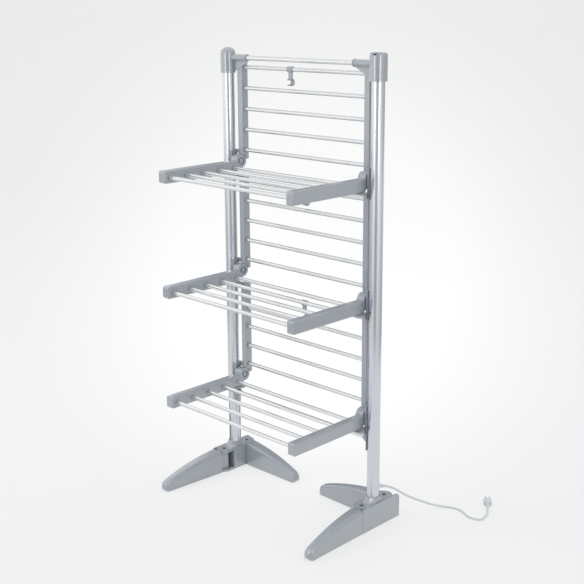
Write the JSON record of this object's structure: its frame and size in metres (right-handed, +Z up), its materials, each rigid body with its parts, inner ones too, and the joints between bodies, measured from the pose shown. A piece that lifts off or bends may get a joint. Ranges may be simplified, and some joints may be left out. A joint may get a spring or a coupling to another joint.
{
  "type": "heated clothes airer",
  "caption": "Tall heated clothes airer: two round posts on folding feet, back racks of heated rods and fold-down shelves of the same rods, with a rocker switch in a post cap.",
  "frame": {"origin": "on the floor at the middle of the footprint, below the shelves and 116.5 mm in front of the posts' axes", "axes": "+Z up; -Y is the front, where the shelves hang out; +X is the side with the switch and the cord"},
  "size_m": [0.8761, 0.6857, 1.4],
  "materials": {
    "post_aluminium": "satin anodised tube",
    "rod_aluminium": "satin silver tube",
    "grey_plastic": "smooth grey moulding",
    "switch_black": "black rocker",
    "pin_steel": "plain steel",
    "cord_plastic": "pale grey flexible plastic",
    "heating_wire": "silicone covered wire",
    "plug_metal": "plain pins"
  },
  "bodies": {
    "frame": {"left_post": "post_aluminium", "right_post": "post_aluminium", "left_cap": "grey_plastic", "right_cap": "grey_plastic", "top_bar": "rod_aluminium", "switch_housing": "grey_plastic", "upper_left_rail": "grey_plastic", "upper_right_rail": "grey_plastic", "upper_back_rods": "rod_aluminium", "upper_back_heating_wires": "heating_wire", "upper_left_bracket": "grey_plastic", "upper_right_bracket": "grey_plastic", "middle_left_rail": "grey_plastic", "middle_right_rail": "grey_plastic", "middle_back_rods": "rod_aluminium", "middle_back_heating_wires": "heating_wire", "middle_left_bracket": "grey_plastic", "middle_right_bracket": "grey_plastic", "lower_left_rail": "grey_plastic", "lower_right_rail": "grey_plastic", "lower_back_rods": "rod_aluminium", "lower_back_heating_wires": "heating_wire", "lower_left_bracket": "grey_plastic", "lower_right_bracket": "grey_plastic", "lowest_cross_rod": "rod_aluminium", "hinge_pins": "pin_steel", "left_hub": "grey_plastic", "right_hub": "grey_plastic", "leg_pivot_pins": "pin_steel", "cord_gland": "cord_plastic", "supply_cord": "cord_plastic", "plug_body": "cord_plastic", "plug_pins": "plug_metal"},
    "upper_shelf": {"upper_left_arm": "grey_plastic", "upper_right_arm": "grey_plastic", "upper_shelf_rods": "rod_aluminium", "upper_shelf_heating_wires": "heating_wire"},
    "middle_shelf": {"middle_left_arm": "grey_plastic", "middle_right_arm": "grey_plastic", "middle_shelf_rods": "rod_aluminium", "middle_shelf_heating_wires": "heating_wire"},
    "lower_shelf": {"lower_left_arm": "grey_plastic", "lower_right_arm": "grey_plastic", "lower_shelf_rods": "rod_aluminium", "lower_shelf_heating_wires": "heating_wire"},
    "upper_hook_body": {"upper_hook": "grey_plastic"},
    "middle_hook_body": {"middle_hook": "grey_plastic"},
    "lower_hook_body": {"lower_hook": "grey_plastic"},
    "left_front_leg_body": {"left_front_leg": "grey_plastic"},
    "right_front_leg_body": {"right_front_leg": "grey_plastic"},
    "left_inner_leg_body": {"left_inner_leg": "grey_plastic"},
    "right_inner_leg_body": {"right_inner_leg": "grey_plastic"},
    "rocker": {"switch_rocker": "switch_black"}
  },
  "joints": [
    {"name": "upper_shelf_fold", "type": "hinge", "parent": "frame", "child": "upper_shelf", "pos_m": [0, 0.1092, 1.0485], "axis": [-1, 0, 0], "range_deg": [0, 90]},
    {"name": "middle_shelf_fold", "type": "hinge", "parent": "frame", "child": "middle_shelf", "pos_m": [0, 0.1092, 0.6935], "axis": [-1, 0, 0], "range_deg": [0, 90]},
    {"name": "lower_shelf_fold", "type": "hinge", "parent": "frame", "child": "lower_shelf", "pos_m": [0, 0.1092, 0.3385], "axis": [-1, 0, 0], "range_deg": [0, 90]},
    {"name": "upper_hook_swing", "type": "hinge", "parent": "frame", "child": "upper_hook_body", "pos_m": [-0.05, 0.1279, 1.34], "axis": [-1, 0, 0], "range_deg": [-90, 85.6]},
    {"name": "middle_hook_swing", "type": "hinge", "parent": "frame", "child": "middle_hook_body", "pos_m": [0.012, 0.1279, 0.985], "axis": [-1, 0, 0], "range_deg": [-90, 85.6]},
    {"name": "lower_hook_swing", "type": "hinge", "parent": "frame", "child": "lower_hook_body", "pos_m": [0.005, 0.1279, 0.63], "axis": [-1, 0, 0], "range_deg": [-90, 85.6]},
    {"name": "left_front_leg_pivot", "type": "hinge", "parent": "frame", "child": "left_front_leg_body", "pos_m": [-0.306, 0.0572, 0.04], "axis": [0, 0, 1], "range_deg": [0, 90]},
    {"name": "left_inner_leg_pivot", "type": "hinge", "parent": "frame", "child": "left_inner_leg_body", "pos_m": [-0.306, 0.1612, 0.04], "axis": [0, 0, 1], "range_deg": [0, 90]},
    {"name": "right_front_leg_pivot", "type": "hinge", "parent": "frame", "child": "right_front_leg_body", "pos_m": [0.306, 0.0572, 0.04], "axis": [0, 0, -1], "range_deg": [0, 90]},
    {"name": "right_inner_leg_pivot", "type": "hinge", "parent": "frame", "child": "right_inner_leg_body", "pos_m": [0.306, 0.1612, 0.04], "axis": [0, 0, -1], "range_deg": [0, 90]},
    {"name": "switch_rock", "type": "hinge", "parent": "frame", "child": "rocker", "pos_m": [0.306, 0.1092, 1.39], "axis": [-1, 0, 0], "range_deg": [0, 14]}
  ]
}
